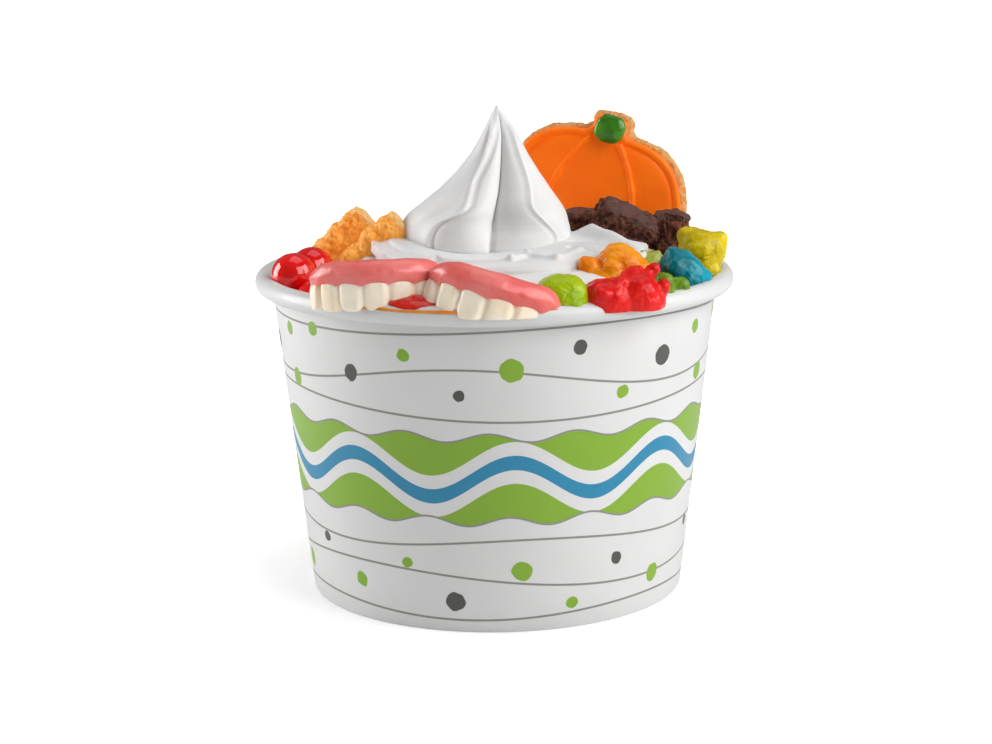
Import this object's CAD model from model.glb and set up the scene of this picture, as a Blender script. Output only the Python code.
"""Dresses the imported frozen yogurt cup: a paper cup, its soft-serve swirl and the sweets round it.

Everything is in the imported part's frame: +Z up, the cup's front towards -Y, the origin at the
centre of its foot. Sizes are in millimetres and angles in degrees until a mesh is placed.
Angles round the cup are 0 at the front and grow towards the right (+X).
"""

import bisect
import logging
import math
from collections.abc import Callable, Sequence
from dataclasses import dataclass, field
from enum import Enum
from functools import lru_cache

import bmesh
import bpy
from mathutils import Matrix, Vector, noise


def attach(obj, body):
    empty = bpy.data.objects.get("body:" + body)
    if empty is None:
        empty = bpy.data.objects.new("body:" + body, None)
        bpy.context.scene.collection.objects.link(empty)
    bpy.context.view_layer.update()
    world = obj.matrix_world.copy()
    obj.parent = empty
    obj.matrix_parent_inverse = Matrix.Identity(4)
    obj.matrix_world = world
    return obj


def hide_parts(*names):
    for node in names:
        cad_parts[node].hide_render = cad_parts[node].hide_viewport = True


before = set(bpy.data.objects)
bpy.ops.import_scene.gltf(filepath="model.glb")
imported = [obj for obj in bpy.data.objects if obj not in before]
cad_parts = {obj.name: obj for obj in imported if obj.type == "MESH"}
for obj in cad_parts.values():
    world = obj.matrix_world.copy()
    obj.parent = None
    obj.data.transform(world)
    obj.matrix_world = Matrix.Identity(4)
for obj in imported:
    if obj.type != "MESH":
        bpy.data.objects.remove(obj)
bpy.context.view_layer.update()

LOG = logging.getLogger("frozen_yogurt_cup")
MM = 0.001
WELD = 1e-7  # metres: vertices that lie closer than this become one
COAT_ROUGHNESS = 0.08
SPOT_EDGE = 0.07  # how softly the ink of a printed spot ends
LINE_EDGE = 0.06  # and that of a printed line
FINER = 2.1  # how much smaller the grains of each further noise are
SKIN = "skin"  # attribute: 1 where a baked or cut face has another colour than the crumb
Colour = tuple[float, float, float]
Triple = tuple[float, float, float]
Rows = tuple[tuple[float, ...], ...]
Place = Callable[[float, float], Vector]
Shape = bmesh.types.BMesh
Vert = bmesh.types.BMVert
Piece = bpy.types.Object
Tree = bpy.types.NodeTree
Node = bpy.types.Node
Socket = bpy.types.NodeSocket


# ---------------------------------------------------------------- shaping


def around(angle: float, radius: float, height: float, shift: float = 0.0) -> Vector:
    """Places a point round the cup.

    Args:
        angle: Degrees from the front, towards the right.
        radius: Distance from the axis.
        height: Height above the table.
        shift: Sideways move of the axis.

    Returns:
        The point in millimetres.
    """
    turn = math.radians(angle)
    return Vector((shift + radius * math.sin(turn), -radius * math.cos(turn), height))


def eased(low: float, high: float, value: float) -> float:
    """Returns a smooth step from 0 at low to 1 at high."""
    share = min(max((value - low) / (high - low), 0.0), 1.0)
    return share * share * (3 - 2 * share)


def swell(value: float, centre: float, width: float) -> float:
    """Returns a bell curve of height 1 about a centre."""
    return math.exp(-(((value - centre) / width) ** 2))


def along(stations: Sequence[Sequence[float]], at: float) -> list[float]:
    """Reads a table of named sizes on a smooth curve.

    Args:
        stations: Rows of a position and the values there, in rising order of position.
        at: The position to read.

    Returns:
        The values at that position.
    """
    keys = [row[0] for row in stations]
    i = min(max(bisect.bisect_right(keys, at) - 1, 0), len(keys) - 2)
    before, low = stations[max(i - 1, 0)], stations[i]
    high, after = stations[i + 1], stations[min(i + 2, len(keys) - 1)]
    t = min(max((at - low[0]) / (high[0] - low[0]), 0.0), 1.0)
    values = []
    for column in range(1, len(low)):
        a, b, c, d = (row[column] for row in (before, low, high, after))
        bend_in, bend_out = (c - a) / 2, (d - b) / 2
        rise = 3 * (c - b) - 2 * bend_in - bend_out
        settle = 2 * (b - c) + bend_in + bend_out
        values.append(((settle * t + rise) * t + bend_in) * t + b)
    return values


def wrapped(place: Place, columns: int, rows: int, closed: bool = True) -> Shape:
    """Wraps a grid of faces over a surface, and welds its seam and its poles.

    Args:
        place: Gives the point in millimetres for a share round and a share along.
        columns: Faces round the surface.
        rows: Faces along it.
        closed: Whether the last column meets the first.

    Returns:
        The surface in metres.
    """
    bm = bmesh.new()
    bmesh.ops.create_grid(bm, x_segments=columns, y_segments=rows, size=0.5)
    for vert in bm.verts:
        vert.co = place(vert.co.x + 0.5, vert.co.y + 0.5) * MM
    if closed:
        bmesh.ops.remove_doubles(bm, verts=bm.verts, dist=WELD)
    bmesh.ops.recalc_face_normals(bm, faces=bm.faces)
    return bm


def linked(name: str, bm: Shape) -> Piece:
    """Turns a shape into an object of the scene, and frees the shape."""
    mesh = bpy.data.meshes.new(name)
    bm.to_mesh(mesh)
    bm.free()
    made = bpy.data.objects.new(name, mesh)
    bpy.context.scene.collection.objects.link(made)
    return made


def scrapped(*helpers: Piece) -> None:
    """Removes helper objects and their meshes."""
    for helper in helpers:
        mesh = helper.data
        bpy.data.objects.remove(helper)
        bpy.data.meshes.remove(mesh)


def joined(parts: Sequence[Shape]) -> Shape:
    """Puts several shells into the first one and frees the others."""
    whole = parts[0]
    for part in parts[1:]:
        spare = bpy.data.meshes.new("spare")
        part.to_mesh(spare)
        part.free()
        whole.from_mesh(spare)
        bpy.data.meshes.remove(spare)
    return whole


def ball(radii: Triple, columns: int = 48, rows: int = 32, square: float = 1.0) -> Shape:
    """Makes a rounded lump.

    Args:
        radii: Half of its width, depth and height.
        columns: Faces round it.
        rows: Faces from pole to pole.
        square: 1 for an ellipsoid, less for squarer sides.

    Returns:
        The lump about the origin, in metres.
    """
    bm = bmesh.new()
    bmesh.ops.create_uvsphere(bm, u_segments=columns, v_segments=rows, radius=1.0)
    for vert in bm.verts:
        sides = [math.copysign(abs(value) ** square, value) for value in vert.co]
        vert.co = Vector([side * radius * MM for side, radius in zip(sides, radii)])
    return bm


def tube(path: Sequence[Vector], radius: Callable[[float], float], sides: int) -> Shape:
    """Sweeps a round section along a path and closes its ends.

    Args:
        path: Points in millimetres.
        radius: Gives the section's radius for a share along the path.
        sides: Faces round the section.

    Returns:
        The tube in metres.
    """
    last = len(path) - 1
    beside = Vector((0.12, 0.31, 0.94))  # no path runs this way

    def place(share: float, far: float) -> Vector:
        """Returns a point on the tube's skin."""
        i = min(int(round(far * (last + 2))), last + 2)
        at = min(max(i - 1, 0), last)
        ahead = (path[min(at + 1, last)] - path[max(at - 1, 0)]).normalized()
        side = ahead.cross(beside).normalized()
        lift = side.cross(ahead)
        size = 0.0 if i in (0, last + 2) else radius(at / last)
        turn = share * math.tau
        return path[at] + (side * math.cos(turn) + lift * math.sin(turn)) * size

    return wrapped(place, sides, last + 2)


def pushed(bm: Shape, move: Callable[[Vert], Vector]) -> None:
    """Moves all vertices at once, each by what its old place and normal give."""
    bm.normal_update()
    moves = [move(vert) for vert in bm.verts]
    for vert, shift in zip(bm.verts, moves):
        vert.co += shift


def roughen(bm: Shape, depth: float, grain: float, seed: float, octaves: int) -> None:
    """Moves each vertex along its normal by a fractal noise.

    Args:
        bm: The shape to roughen.
        depth: Largest move.
        grain: Size of the noise's largest lumps.
        seed: Where in the noise the shape stands.
        octaves: How many noises are added, each finer than the last.
    """
    start = Vector((seed, -seed, 0.5 * seed))

    def move(vert: Vert) -> Vector:
        """Returns a vertex's move in metres."""
        lump = noise.fractal(vert.co / (grain * MM) + start, 1.0, FINER, octaves)
        return vert.normal * lump * depth * MM

    pushed(bm, move)


def moved(bm: Shape, matrix: Matrix) -> Shape:
    """Moves and turns a shape, and returns it."""
    bmesh.ops.transform(bm, matrix=matrix, verts=bm.verts)
    return bm


def offset(place: Triple | Vector) -> Matrix:
    """Returns the matrix of a move given in millimetres."""
    return Matrix.Translation(Vector(place) * MM)


def turned(degrees: float, axis: str) -> Matrix:
    """Returns the matrix of a turn about one axis."""
    return Matrix.Rotation(math.radians(degrees), 4, axis)


def facing(place: Triple, up: Triple, face: Triple, scale: float = 1.0) -> Matrix:
    """Finds where a sweet lies.

    Args:
        place: Its centre.
        up: The direction of its own Z.
        face: The direction that its front looks to.
        scale: Its size.

    Returns:
        The matrix that puts it there.
    """
    z_axis = Vector(up).normalized()
    y_axis = -(Vector(face) - Vector(face).dot(z_axis) * z_axis).normalized()
    turn = Matrix((y_axis.cross(z_axis), y_axis, z_axis)).transposed().to_4x4()
    return offset(place) @ turn @ Matrix.Scale(scale, 4)


def evaluated(piece: Piece) -> Shape:
    """Returns an object's shape with its modifiers applied."""
    bpy.context.view_layer.update()
    finished = piece.evaluated_get(bpy.context.evaluated_depsgraph_get())
    skin = bpy.data.meshes.new_from_object(finished)
    made = bmesh.new()
    made.from_mesh(skin)
    bpy.data.meshes.remove(skin)
    return made


def fused(bm: Shape, voxel: float, passes: int) -> Shape:
    """Melts overlapping lumps into one skin.

    Args:
        bm: The lumps, in metres.
        voxel: Size of the new faces.
        passes: How often the new skin is smoothed.

    Returns:
        The new skin.
    """
    lumps = linked("lumps", bm)
    melt = lumps.modifiers.new("Melt", "REMESH")
    melt.mode = "VOXEL"
    melt.voxel_size = voxel * MM
    soften = lumps.modifiers.new("Soften", "SMOOTH")
    soften.iterations = passes
    made = evaluated(lumps)
    scrapped(lumps)
    return made


# ---------------------------------------------------------------- node wiring


class Wiring:
    """Adds nodes to one node tree and links them."""

    def __init__(self, tree: Tree) -> None:
        """Keeps the tree."""
        self.tree = tree

    def add(self, kind: str, inputs: dict | None = None, **settings: object) -> Node:
        """Adds a node.

        Args:
            kind: The node's type, without its ShaderNode prefix.
            inputs: Values or sockets for its inputs, by name or number.
            **settings: The node's own properties.

        Returns:
            The node.
        """
        node = self.tree.nodes.new("ShaderNode" + kind)
        for name, value in settings.items():
            setattr(node, name, value)
        self.fill(node, inputs or {})
        return node

    def fill(self, node: Node, inputs: dict) -> None:
        """Feeds several inputs of a node, each by its name or number."""
        for name, value in inputs.items():
            self.feed(node.inputs[name], value)

    def feed(self, socket: Socket, value: object) -> None:
        """Links a socket to an input, or sets the input's value."""
        if isinstance(value, Socket):
            self.tree.links.new(value, socket)
        elif isinstance(value, tuple) and socket.type == "RGBA":
            socket.default_value = (*value, 1.0)
        else:
            socket.default_value = value

    def maths(self, operation: str, *values: object, clamp: bool = False) -> Socket:
        """Returns the result of a Math node."""
        inputs = dict(enumerate(values))
        return self.add("Math", inputs, operation=operation, use_clamp=clamp).outputs[0]

    def plus(self, first: object, second: object, clamp: bool = False) -> Socket:
        """Returns the sum of two values."""
        return self.maths("ADD", first, second, clamp=clamp)

    def minus(self, first: object, second: object) -> Socket:
        """Returns the first value less the second."""
        return self.maths("SUBTRACT", first, second)

    def times(self, first: object, second: object) -> Socket:
        """Returns the product of two values."""
        return self.maths("MULTIPLY", first, second)

    def blend(self, share: object, low: object, high: object) -> Socket:
        """Returns a mix of two colours."""
        node = self.add("Mix", data_type="RGBA")
        for name, value in (("Factor_Float", share), ("A_Color", low), ("B_Color", high)):
            self.feed(next(socket for socket in node.inputs if socket.identifier == name), value)
        return next(socket for socket in node.outputs if socket.identifier == "Result_Color")

    def ramp(self, value: object, low: float, high: float) -> Socket:
        """Returns a smooth step of a value between two limits."""
        inputs = {"Value": value, "From Min": low, "From Max": high}
        return self.add("MapRange", inputs, interpolation_type="SMOOTHSTEP").outputs["Result"]

    def cloud(self, scale: float, detail: float = 3.0, rough: float = 0.55) -> Socket:
        """Returns a noise on the object's own coordinates, with lumps of 1000 / scale mm."""
        where = self.add("TexCoord").outputs["Object"]
        inputs = {"Vector": where, "Scale": scale, "Detail": detail, "Roughness": rough}
        return self.add("TexNoise", inputs).outputs["Fac"]

    def place(self) -> tuple[Socket, ...]:
        """Returns the object's X, Y and Z coordinates."""
        where = self.add("TexCoord").outputs["Object"]
        return tuple(self.add("SeparateXYZ", {0: where}).outputs)


def new_group(
    name: str, inputs: dict[str, float], outputs: Sequence[str]
) -> tuple[Wiring, dict[str, Socket], dict[str, Socket]]:
    """Starts a shader node group.

    Args:
        name: The group's name.
        inputs: Each input with its usual value.
        outputs: The names of its outputs.

    Returns:
        Its wiring, the sockets that its inputs come from, and those that its outputs go to.
    """
    tree = bpy.data.node_groups.new(name, "ShaderNodeTree")
    kind = {"socket_type": "NodeSocketFloat"}
    for label, value in inputs.items():
        socket = tree.interface.new_socket(name=label, in_out="INPUT", **kind)
        socket.default_value = value
    for label in outputs:
        tree.interface.new_socket(name=label, in_out="OUTPUT", **kind)
    source = tree.nodes.new("NodeGroupInput")
    drain = tree.nodes.new("NodeGroupOutput")
    return Wiring(tree), dict(source.outputs.items()), dict(drain.inputs.items())


def new_material(name: str) -> tuple[bpy.types.Material, Wiring, Node]:
    """Starts a material, and returns it with its wiring and its Principled BSDF."""
    made = bpy.data.materials.new(name)
    made.use_nodes = True
    return made, Wiring(made.node_tree), made.node_tree.nodes["Principled BSDF"]


@lru_cache
def crumb_group() -> Tree:
    """Returns the group for baked crumb: lumps, pores and a mask of its hollows."""
    usual = {"Grain": 900.0, "Pores": 0.5}
    wiring, given, wanted = new_group("crumb", usual, ("Height", "Hollows"))
    where = wiring.add("TexCoord").outputs["Object"]
    spread = {"Vector": where, "Scale": given["Grain"]}
    coarse = wiring.add("TexNoise", {**spread, "Detail": 5.0, "Roughness": 0.65})
    pores = wiring.add("TexVoronoi", {**spread, "Randomness": 1.0})
    pits = wiring.ramp(pores.outputs["Distance"], 0.05, 0.42)
    lumps = coarse.outputs["Fac"]
    wiring.feed(wanted["Height"], wiring.plus(lumps, wiring.times(pits, given["Pores"])))
    shade = wiring.times(wiring.minus(1.0, pits), given["Pores"])
    depth = wiring.plus(wiring.ramp(lumps, 0.62, 0.36), shade, clamp=True)
    wiring.feed(wanted["Hollows"], depth)
    return wiring.tree


@lru_cache
def gelatine_group() -> Tree:
    """Returns the group for moulded gelatine: soft ripples and cloudy depths."""
    usual = {"Ripple": 320.0, "Twist": 2.0}
    wiring, given, wanted = new_group("gelatine", usual, ("Height", "Depths"))
    where = wiring.add("TexCoord").outputs["Object"]
    folds = {"Scale": given["Ripple"], "Detail": 2.0, "Distortion": given["Twist"]}
    ripples = wiring.add("TexNoise", {"Vector": where, **folds}).outputs["Fac"]
    wiring.feed(wanted["Height"], ripples)
    wiring.feed(wanted["Depths"], wiring.ramp(wiring.cloud(150.0), 0.35, 0.68))
    return wiring.tree


@lru_cache
def spot_group() -> Tree:
    """Returns the group for one printed spot with a slightly uneven edge."""
    usual = dict.fromkeys(("Round", "Up", "Wobble", "Angle", "Height"), 0.0)
    wiring, given, wanted = new_group("spot", {**usual, "Radius": 1.0, "Narrow": 1.0}, ("Mask",))
    sideways = wiring.times(wiring.minus(given["Round"], given["Angle"]), given["Narrow"])
    upwards = wiring.minus(given["Up"], given["Height"])
    squares = wiring.plus(wiring.maths("POWER", sideways, 2.0), wiring.maths("POWER", upwards, 2.0))
    reach = wiring.plus(wiring.maths("SQRT", squares), given["Wobble"])
    over = wiring.minus(given["Radius"], reach)
    wiring.feed(wanted["Mask"], wiring.ramp(over, -SPOT_EDGE, SPOT_EDGE))
    return wiring.tree


@lru_cache
def line_group() -> Tree:
    """Returns the group for one printed line that waves gently round the cup."""
    usual = dict.fromkeys(("Turn", "Up", "Height", "Swing", "Waves", "Start", "Half"), 0.0)
    usual.update({"Waves": 1.0, "Half": 0.2})
    wiring, given, wanted = new_group("line", usual, ("Mask", "Above"))
    phase = wiring.plus(wiring.times(given["Turn"], given["Waves"]), given["Start"])
    swing = wiring.times(wiring.maths("SINE", phase), given["Swing"])
    middle = wiring.plus(given["Height"], swing)
    above = wiring.minus(given["Up"], middle)
    inside = wiring.minus(given["Half"], wiring.maths("ABSOLUTE", above))
    wiring.feed(wanted["Mask"], wiring.ramp(inside, -LINE_EDGE, LINE_EDGE))
    wiring.feed(wanted["Above"], wiring.ramp(above, -LINE_EDGE, LINE_EDGE))
    return wiring.tree


# ---------------------------------------------------------------- finishes


@dataclass(frozen=True)
class Finish:
    """What a surface is made of: each kind paints its own colour, gloss and relief."""

    name: str
    colour: Colour
    roughness: float = 0.5
    coat: float = 0.0
    glow: float = 0.0  # how much of the light goes in and scatters
    depth: Triple = (1.0, 1.0, 1.0)  # how far red, green and blue light go in
    shine: float = 0.5
    light: float = 0.0  # a little light of its own, for colours that look lit from within

    def paint(self, wiring: Wiring, shader: Node) -> None:
        """Sets the nodes of this kind of surface."""
        wiring.feed(shader.inputs["Base Color"], self.colour)

    def relief(self, wiring: Wiring, shader: Node, height: object, distance: float) -> None:
        """Adds a bump.

        Args:
            wiring: The material's wiring.
            shader: Its Principled BSDF.
            height: The socket that gives the height, from 0 to 1.
            distance: How far 1 stands out.
        """
        bump = wiring.add("Bump", {"Height": height, "Distance": distance * MM, "Strength": 1.0})
        wiring.feed(shader.inputs["Normal"], bump.outputs["Normal"])

    def material(self) -> bpy.types.Material:
        """Returns the finished material."""
        made, wiring, shader = new_material(self.name)
        surface = {
            "Roughness": self.roughness,
            "Coat Weight": self.coat,
            "Coat Roughness": COAT_ROUGHNESS,
            "Specular IOR Level": self.shine,
            "Emission Color": self.colour,
            "Emission Strength": self.light,
            "Subsurface Weight": self.glow,
            "Subsurface Radius": self.depth,
            "Subsurface Scale": MM,
        }
        wiring.fill(shader, surface)
        self.paint(wiring, shader)
        return made


@lru_cache
def material_of(finish: Finish) -> bpy.types.Material:
    """Returns the one material of a finish."""
    return finish.material()


@dataclass(frozen=True)
class Gelatine(Finish):
    """Clear, wet gelatine whose colour is deeper where it is thick."""

    deep: Colour = (0.1, 0.0, 0.0)
    ripple: float = 0.10

    def paint(self, wiring: Wiring, shader: Node) -> None:
        """Clouds the colour and ripples the skin."""
        group = wiring.add("Group", node_tree=gelatine_group())
        tint = wiring.blend(group.outputs["Depths"], self.colour, self.deep)
        wiring.feed(shader.inputs["Base Color"], tint)
        self.relief(wiring, shader, group.outputs["Height"], self.ripple)


@dataclass(frozen=True)
class Crumb(Finish):
    """Dry baked crumb with darker hollows."""

    deep: Colour = (0.1, 0.05, 0.02)
    grain: float = 900.0
    pores: float = 0.4
    lift: float = 0.3
    skin: Colour = (0.5, 0.5, 0.5)

    def paint(self, wiring: Wiring, shader: Node) -> None:
        """Colours the crumb by its own relief, and its skin where the piece has one."""
        sizes = {"Grain": self.grain, "Pores": self.pores}
        group = wiring.add("Group", sizes, node_tree=crumb_group())
        baked = wiring.blend(group.outputs["Hollows"], self.colour, self.deep)
        skin = wiring.add("Attribute", attribute_name=SKIN).outputs["Fac"]
        patches = wiring.ramp(wiring.cloud(500.0), 0.30, 0.55)
        cover = wiring.times(skin, wiring.maths("MAXIMUM", patches, 0.35))
        wiring.feed(shader.inputs["Base Color"], wiring.blend(cover, baked, self.skin))
        self.relief(wiring, shader, group.outputs["Height"], self.lift)


@dataclass(frozen=True)
class SoftServe(Finish):
    """Smooth yogurt with a faint grain of ice."""

    shade: Colour = (0.75, 0.755, 0.76)

    def paint(self, wiring: Wiring, shader: Node) -> None:
        """Varies the white a little."""
        tone = wiring.ramp(wiring.cloud(90.0), 0.35, 0.7)
        wiring.feed(shader.inputs["Base Color"], wiring.blend(tone, self.colour, self.shade))
        self.relief(wiring, shader, wiring.cloud(1400.0, 4.0), 0.05)


class Ink(Enum):
    """The colours printed on the cup."""

    GREEN = (0.225, 0.42, 0.018)
    BLUE = (0.008, 0.235, 0.42)
    CHARCOAL = (0.075, 0.072, 0.066)
    GREY = (0.25, 0.245, 0.225)
    WHITE = (0.74, 0.74, 0.736)


@dataclass(frozen=True)
class PrintedPaper(Finish):
    """Coated paper with a printed band, loose spots and thin waving lines."""

    # of each ink: angle, height, radius
    spots: tuple[tuple[Ink, tuple[Triple, ...]], ...] = (
        (Ink.GREEN, (
            (-52, 60.0, 1.5), (-23, 57.0, 1.3), (4, 54.5, 2.4), (34, 48.5, 1.4), (62, 58.5, 1.5),
            (-64, 48.5, 1.9), (-43, 8.5, 1.5), (-26, 14.0, 1.2), (7, 13.0, 2.1), (22, 5.5, 1.3),
            (52, 8.0, 1.9),
        )),
        (Ink.CHARCOAL, (
            (-39, 52.5, 1.7), (-9, 49.5, 1.2), (21, 58.5, 1.5), (47, 54.5, 2.1), (-58, 15.5, 1.2),
            (-12, 6.5, 2.0), (36, 13.5, 1.3),
        )),
    )
    # the spots are printed three times round the cup, up to the seam
    turns: tuple[float, ...] = (0.0, 131.0, -127.0)
    seam: float = 173.0
    # height, swing, waves, start, half width
    lines: Rows = (
        (61.8, 1.2, 2, 0.4, 0.23),
        (52.0, 2.6, 3, 2.0, 0.23),
        (45.5, 1.5, 2, 4.4, 0.23),
        (18.2, 1.4, 3, 1.1, 0.23),
        (10.6, 2.3, 2, 3.0, 0.23),
        (3.4, 0.8, 3, 5.2, 0.23),
    )
    # the band's two edges, as lines
    band: Rows = (
        (23.5, 0.9, 16, 0.6, 0.2),
        (40.8, 0.9, 16, 2.1, 0.2),
    )
    # swing, waves and start of the ribbon, and the half widths of its white and its blue
    ribbon: Triple = (3.6, 8.0, 0.9)
    white: float = 4.3
    core: float = 1.5
    # radius of the paper's face and middle at the foot, and how much each grows per millimetre
    face: float = 39.2
    foot: float = 38.93
    taper: float = 0.112
    wander: float = 0.9  # how far a spot's edge strays
    tint: float = 0.97  # how much darker the paper's clouds are

    def paint(self, wiring: Wiring, shader: Node) -> None:
        """Prints the band, the lines and the spots by angle and height, on the outside alone."""
        x, y, z = wiring.place()
        turn = wiring.maths("ARCTAN2", x, wiring.times(y, -1.0))
        degrees = wiring.maths("DEGREES", turn)
        up = wiring.times(z, 1 / MM)
        wobble = wiring.times(wiring.minus(wiring.cloud(420.0, 1.0), 0.5), self.wander)
        tone = wiring.ramp(wiring.cloud(60.0), 0.3, 0.7)
        plain = wiring.blend(tone, self.colour, tuple(value * self.tint for value in self.colour))
        colour = plain
        for shape in self.lines:
            line = self.line(wiring, turn, up, *shape)
            colour = wiring.blend(line.outputs["Mask"], colour, Ink.GREY.value)
        colour = self.band_print(wiring, turn, up, colour)
        for ink, spots in self.spots:
            masks = [
                self.spot(wiring, degrees, up, wobble, angle + shift, height, radius)
                for shift in self.turns
                for angle, height, radius in spots
                if -self.seam < angle + shift < self.seam
            ]
            mask = masks[0]
            for other in masks[1:]:
                mask = wiring.maths("MAXIMUM", mask, other)
            colour = wiring.blend(mask, colour, ink.value)
        square = wiring.plus(wiring.times(x, x), wiring.times(y, y))
        reach = wiring.times(wiring.maths("SQRT", square), 1 / MM)
        middle = wiring.maths("MULTIPLY_ADD", up, self.taper, self.foot)
        outside = wiring.maths("GREATER_THAN", reach, middle)
        wiring.feed(shader.inputs["Base Color"], wiring.blend(outside, plain, colour))
        self.relief(wiring, shader, wiring.cloud(900.0, 4.0), 0.03)

    def line(self, wiring: Wiring, turn: object, up: object, *shape: float) -> Node:
        """Adds one waving line.

        Args:
            wiring: The material's wiring.
            turn: The angle round the cup, in radians.
            up: The height in millimetres.
            *shape: The line's height, swing, waves, start and half width.

        Returns:
            The line's node.
        """
        inputs = dict(enumerate((turn, up, *shape)))
        return wiring.add("Group", inputs, node_tree=line_group())

    def spot(
        self, wiring: Wiring, degrees: object, up: object, wobble: object, *shape: float
    ) -> Socket:
        """Adds one spot.

        Args:
            wiring: The material's wiring.
            degrees: The angle round the cup.
            up: The height in millimetres.
            wobble: How far the spot's edge wanders.
            *shape: The spot's angle, height and radius.

        Returns:
            The spot's mask.
        """
        narrow = math.radians(self.face + self.taper * shape[1])
        inputs = dict(enumerate((degrees, up, wobble, *shape, narrow)))
        return wiring.add("Group", inputs, node_tree=spot_group()).outputs["Mask"]

    def band_print(self, wiring: Wiring, turn: object, up: object, colour: object) -> Socket:
        """Prints the green band with a white ribbon and a blue core waving through it.

        Args:
            wiring: The material's wiring.
            turn: The angle round the cup, in radians.
            up: The height in millimetres.
            colour: The colour printed so far.

        Returns:
            The colour with the band over it.
        """
        floor, roof = (self.line(wiring, turn, up, *edge) for edge in self.band)
        inside = wiring.times(floor.outputs["Above"], wiring.minus(1.0, roof.outputs["Above"]))
        colour = wiring.blend(inside, colour, Ink.GREEN.value)
        middle = sum(edge[0] for edge in self.band) / 2
        for width, ink in ((self.white, Ink.WHITE), (self.core, Ink.BLUE)):
            ribbon = self.line(wiring, turn, up, middle, *self.ribbon, width)
            colour = wiring.blend(ribbon.outputs["Mask"], colour, ink.value)
        for edge in (floor, roof):
            colour = wiring.blend(edge.outputs["Mask"], colour, Ink.GREY.value)
        return colour


# ---------------------------------------------------------------- pieces


def placed(
    name: str,
    bm: Shape,
    finish: Finish,
    slot: str,
    nodes: Sequence[str] = (),
    crease: float = 60.0,
) -> None:
    """Makes a finished piece that rides on the cup.

    Args:
        name: The piece's name.
        bm: Its shape, in metres and in place.
        finish: Its finish.
        slot: The record's material slot that it takes its finish from.
        nodes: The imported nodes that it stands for.
        crease: Edges sharper than this stay sharp.
    """
    piece = linked(name, bm)
    mesh = piece.data
    mesh.shade_smooth()
    mesh.set_sharp_from_angle(angle=math.radians(crease))
    mesh.materials.append(material_of(finish))
    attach(piece, "root")
    if nodes:
        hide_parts(*nodes)
    LOG.info("%s: %d faces", name, len(mesh.polygons))


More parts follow.
